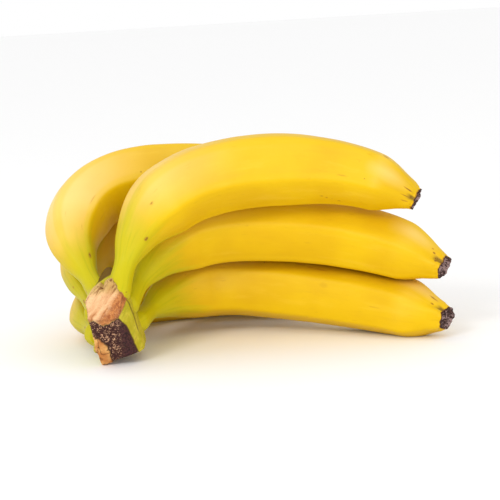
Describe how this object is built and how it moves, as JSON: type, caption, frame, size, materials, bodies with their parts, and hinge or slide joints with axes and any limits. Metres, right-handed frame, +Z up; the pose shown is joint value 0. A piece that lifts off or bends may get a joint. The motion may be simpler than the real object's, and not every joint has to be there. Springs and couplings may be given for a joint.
{
  "type": "bunch of bananas",
  "caption": "Bunch of ripe yellow dessert bananas joined at one cut crown, lying on its side with the fingers fanned in two rows.",
  "frame": {"origin": "middle of the bounding box, on the surface that the bunch lies on", "axes": "+X from the crown end towards the blossom ends, +Y from the inner row of fingers to the outer row, +Z up"},
  "size_m": [0.2074, 0.145, 0.1079],
  "materials": {
    "banana_skin": "ripe banana peel: waxy satin yellow, yellow-green at the neck, small brown scars and specks, dry dark-brown blossom end",
    "crown_stem": "knife-cut banana crown: pale tan fibrous face above, dried purple-brown rough face below, a strip of green skin at the side"
  },
  "bodies": {
    "root": {"crown": "crown_stem", "finger_inner_top": "banana_skin", "finger_inner_middle": "banana_skin", "finger_inner_bottom": "banana_skin", "finger_outer_top": "banana_skin", "finger_outer_middle": "banana_skin", "finger_outer_bottom": "banana_skin"}
  },
  "joints": []
}
